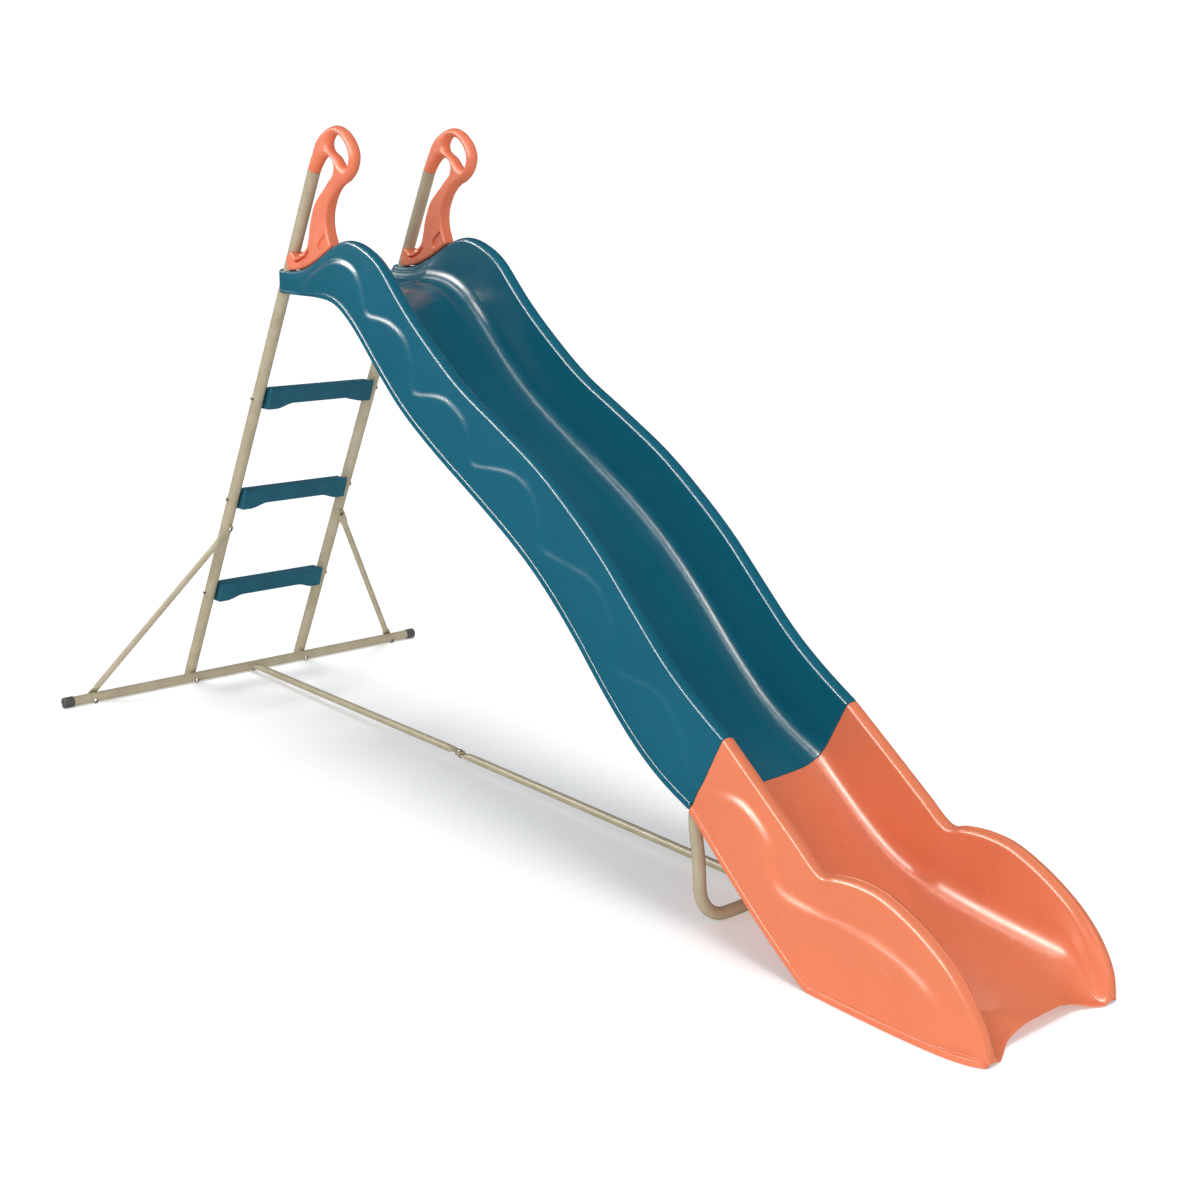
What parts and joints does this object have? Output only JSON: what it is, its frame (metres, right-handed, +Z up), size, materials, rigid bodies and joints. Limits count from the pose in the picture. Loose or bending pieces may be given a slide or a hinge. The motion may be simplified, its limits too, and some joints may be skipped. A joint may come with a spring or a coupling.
{
  "type": "wave slide",
  "caption": "Free-standing playground slide with a waved trough, a flared run-out, a leaning tube ladder with moulded steps, side braces and curled grab handles.",
  "frame": {"origin": "on the floor under the middle of the bounding box", "axes": "+X down the slide from the ladder to the run-out, +Y across the slide towards its left side, +Z up"},
  "size_m": [2.7559, 1.1012, 1.4671],
  "materials": {
    "blue_plastic": "glossy petrol-blue moulded plastic",
    "orange_plastic": "glossy coral-orange moulded plastic",
    "step_plastic": "satin petrol-blue moulded plastic",
    "beige_paint": "satin sand-beige powder coat on steel tube",
    "cap_plastic": "dark grey moulded end cap",
    "zinc_steel": "bright zinc-plated steel"
  },
  "bodies": {
    "root": {"brace_foot_bolt_left": "zinc_steel", "brace_foot_bolt_right": "zinc_steel", "brace_foot_nut_left": "zinc_steel", "brace_foot_nut_right": "zinc_steel", "brace_top_bolt_left": "zinc_steel", "brace_top_bolt_right": "zinc_steel", "brace_top_nut_left": "zinc_steel", "brace_top_nut_right": "zinc_steel", "chute_bolt_left": "zinc_steel", "chute_bolt_right": "zinc_steel", "chute_nut_left": "zinc_steel", "chute_nut_right": "zinc_steel", "diagonal_brace_left": "beige_paint", "diagonal_brace_right": "beige_paint", "end_cap_left": "cap_plastic", "end_cap_right": "cap_plastic", "floor_brace_bolt": "zinc_steel", "floor_brace_front": "beige_paint", "floor_brace_nut": "zinc_steel", "floor_brace_rear": "beige_paint", "foot_bolt_left": "zinc_steel", "foot_bolt_right": "zinc_steel", "foot_nut_left": "zinc_steel", "foot_nut_right": "zinc_steel", "ground_cross_tube": "beige_paint", "handle_left": "orange_plastic", "handle_right": "orange_plastic", "hoop_bolt": "zinc_steel", "hoop_nut": "zinc_steel", "joint_bolt_high_left": "zinc_steel", "joint_bolt_high_right": "zinc_steel", "joint_bolt_low_left": "zinc_steel", "joint_bolt_low_right": "zinc_steel", "joint_nut_high_left": "zinc_steel", "joint_nut_high_right": "zinc_steel", "joint_nut_low_left": "zinc_steel", "joint_nut_low_right": "zinc_steel", "lower_chute": "orange_plastic", "middle_bolt": "zinc_steel", "middle_nut": "zinc_steel", "step_bolt_lower_left": "zinc_steel", "step_bolt_lower_right": "zinc_steel", "step_bolt_middle_left": "zinc_steel", "step_bolt_middle_right": "zinc_steel", "step_bolt_upper_left": "zinc_steel", "step_bolt_upper_right": "zinc_steel", "step_lower": "step_plastic", "step_middle": "step_plastic", "step_upper": "step_plastic", "support_hoop": "beige_paint", "upper_chute": "blue_plastic", "upright_left": "beige_paint", "upright_right": "beige_paint"}
  },
  "joints": []
}
